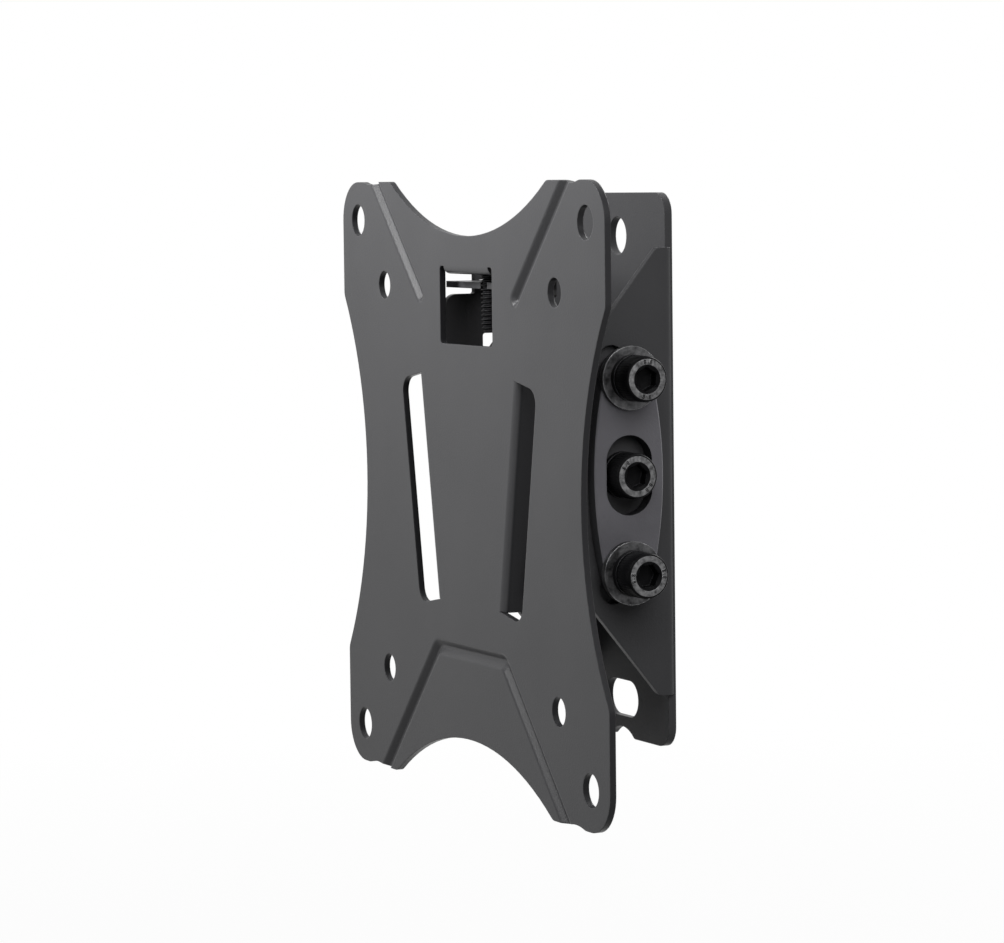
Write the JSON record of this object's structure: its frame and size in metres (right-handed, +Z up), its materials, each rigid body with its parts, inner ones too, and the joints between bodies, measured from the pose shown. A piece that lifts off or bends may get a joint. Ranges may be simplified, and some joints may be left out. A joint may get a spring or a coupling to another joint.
{
  "type": "tilting tv wall bracket",
  "caption": "Small tilting wall bracket: a scooped square screen plate on a clamped channel that tilts in arc slots between the flanges of a narrow wall channel.",
  "frame": {"origin": "centre of both screen hole patterns, on the front face of the front plate", "axes": "+X to the right seen from the front, +Y back towards the wall, +Z up"},
  "size_m": [0.115, 0.0334, 0.115],
  "materials": {
    "front_coat": "satin powder coat, fine texture",
    "bracket_coat": "satin powder coat, fine texture",
    "screw_steel": "black oxide, worn bright on the edges",
    "washer_steel": "black oxide, glossy"
  },
  "bodies": {
    "wall": {"wall_bracket": "bracket_coat", "screw_middle_right": "screw_steel", "screw_middle_left": "screw_steel", "spring_washer_middle_right": "washer_steel", "spring_washer_middle_left": "washer_steel", "nut_middle_right": "screw_steel", "nut_middle_left": "screw_steel"},
    "tilt_head": {"front_plate": "front_coat", "tilt_bracket": "bracket_coat", "cross_bar": "bracket_coat", "lock_screw": "screw_steel", "side_plate_right": "bracket_coat", "side_plate_left": "bracket_coat", "screw_top_right": "screw_steel", "screw_top_left": "screw_steel", "screw_bottom_right": "screw_steel", "screw_bottom_left": "screw_steel", "spring_washer_top_right": "washer_steel", "spring_washer_top_left": "washer_steel", "spring_washer_bottom_right": "washer_steel", "spring_washer_bottom_left": "washer_steel", "flat_washer_top_right": "washer_steel", "flat_washer_top_left": "washer_steel", "flat_washer_bottom_right": "washer_steel", "flat_washer_bottom_left": "washer_steel", "nut_top_right": "screw_steel", "nut_top_left": "screw_steel", "nut_bottom_right": "screw_steel", "nut_bottom_left": "screw_steel"}
  },
  "joints": [
    {"name": "tilt", "type": "hinge", "parent": "wall", "child": "tilt_head", "pos_m": [0, -0.01, 0.0031], "axis": [1, 0, 0], "range_deg": [-5, 5]}
  ]
}
